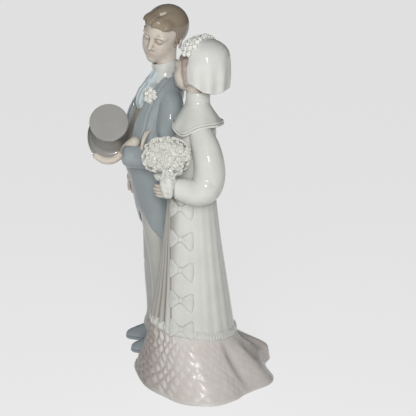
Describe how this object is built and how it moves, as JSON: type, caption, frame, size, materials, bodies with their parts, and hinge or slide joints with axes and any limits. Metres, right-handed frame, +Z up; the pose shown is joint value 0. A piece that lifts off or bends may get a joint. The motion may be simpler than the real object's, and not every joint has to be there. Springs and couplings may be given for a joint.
{
  "type": "wedding couple figurine",
  "caption": "Glazed porcelain figurine of a bride with bouquet, veil and trained gown beside a groom in a tail coat who holds his top hat.",
  "frame": {"origin": "middle of the outline seen from above, on the plane that the gown's hem and the shoes stand on", "axes": "+Z up, +X towards the trailing end of the gown's train, -Y towards the bride's side, so that both figures look towards -X"},
  "size_m": [0.1516, 0.1404, 0.3012],
  "materials": {
    "white_glaze": "clear gloss glaze over a white body",
    "gown_glaze": "clear gloss glaze over a warm ivory body",
    "lace_glaze": "gloss glaze over pinkish beige, with a quilted relief",
    "skin_glaze": "satin gloss glaze, flesh tint",
    "bride_hair_glaze": "gloss glaze, rose brown",
    "groom_hair_glaze": "gloss glaze, taupe brown",
    "coat_glaze": "gloss glaze, blue grey",
    "waistcoat_glaze": "gloss glaze, beige grey",
    "trousers_glaze": "gloss glaze, light warm grey",
    "shoe_glaze": "gloss glaze, dark blue grey",
    "cravat_glaze": "gloss glaze, pale blue",
    "hat_glaze": "gloss glaze, lavender grey",
    "petal_glaze": "thin gloss glaze over hand-made petals"
  },
  "bodies": {
    "root": {"left_shoe": "shoe_glaze", "right_shoe": "shoe_glaze", "trousers": "trousers_glaze", "groom_head": "skin_glaze", "groom_hair": "groom_hair_glaze", "groom_collar": "white_glaze", "groom_cravat": "cravat_glaze", "boutonniere": "petal_glaze", "groom_waistcoat": "waistcoat_glaze", "groom_coat": "coat_glaze", "left_lapel": "coat_glaze", "right_lapel": "coat_glaze", "groom_left_sleeve": "coat_glaze", "groom_right_sleeve": "coat_glaze", "groom_left_hand": "skin_glaze", "groom_right_hand": "skin_glaze", "hat_crown": "hat_glaze", "hat_band": "hat_glaze", "hat_brim": "hat_glaze", "bride_head": "skin_glaze", "bride_hair": "bride_hair_glaze", "bride_collar": "gown_glaze", "bride_veil": "white_glaze", "flower_wreath": "petal_glaze", "bride_yoke": "gown_glaze", "bride_bodice": "gown_glaze", "bride_left_sleeve": "gown_glaze", "bride_right_sleeve": "gown_glaze", "bride_left_hand": "skin_glaze", "bride_right_hand": "skin_glaze", "bouquet_flowers": "petal_glaze", "bouquet_frill": "white_glaze", "bouquet_stems": "white_glaze", "bride_skirt": "gown_glaze", "bow_1": "gown_glaze", "bow_2": "gown_glaze", "bow_3": "gown_glaze", "bow_4": "gown_glaze", "bow_5": "gown_glaze", "skirt_band": "gown_glaze", "bride_flounce": "lace_glaze"}
  },
  "joints": []
}
